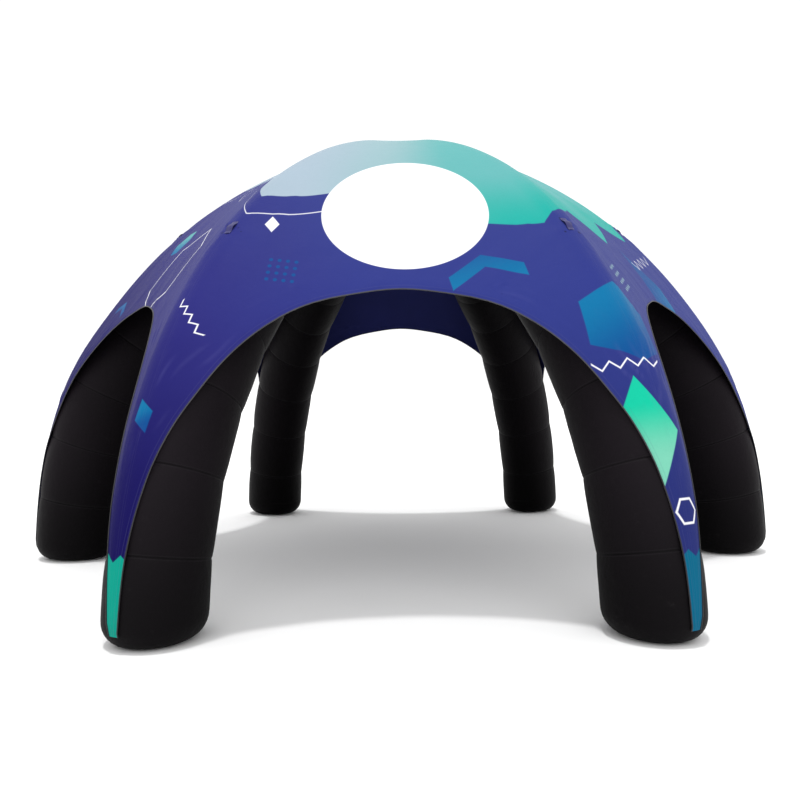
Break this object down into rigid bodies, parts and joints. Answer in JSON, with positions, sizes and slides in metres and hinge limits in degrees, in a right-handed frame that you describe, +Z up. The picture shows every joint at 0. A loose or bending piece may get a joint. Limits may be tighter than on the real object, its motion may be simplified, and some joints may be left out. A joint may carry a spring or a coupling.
{
  "type": "inflatable spider tent",
  "caption": "Dome-shaped event tent of curved air-filled legs meeting in a crown, with a taut printed canopy that arches between the legs and tapers to a tail down each one.",
  "frame": {"origin": "on the ground, midway between the six feet, under the crown", "axes": "+X to the right along the pair of middle legs, -Y towards the front arch, +Z up"},
  "size_m": [6.4758, 5.8226, 3.5954],
  "materials": {
    "air_frame": "black coated polyester, semi-matt",
    "canopy_cloth": "printed polyester in indigo, teal and pale blue, soft satin sheen",
    "piping": "charcoal piping cord",
    "guy_loop": "dark blue woven webbing"
  },
  "bodies": {
    "root": {"leg_front_left": "air_frame", "leg_front_right": "air_frame", "leg_mid_right": "air_frame", "leg_back_right": "air_frame", "leg_back_left": "air_frame", "leg_mid_left": "air_frame", "crown": "air_frame", "canopy_front": "canopy_cloth", "canopy_front_right": "canopy_cloth", "canopy_back_right": "canopy_cloth", "canopy_back": "canopy_cloth", "canopy_back_left": "canopy_cloth", "canopy_front_left": "canopy_cloth", "piping_front": "piping", "piping_front_right": "piping", "piping_back_right": "piping", "piping_back": "piping", "piping_back_left": "piping", "piping_front_left": "piping", "guy_loop_mid_right": "guy_loop", "guy_loop_back_right": "guy_loop", "guy_loop_back_left": "guy_loop", "guy_loop_mid_left": "guy_loop", "guy_loop_front_left": "guy_loop", "guy_loop_front_right": "guy_loop"}
  },
  "joints": []
}
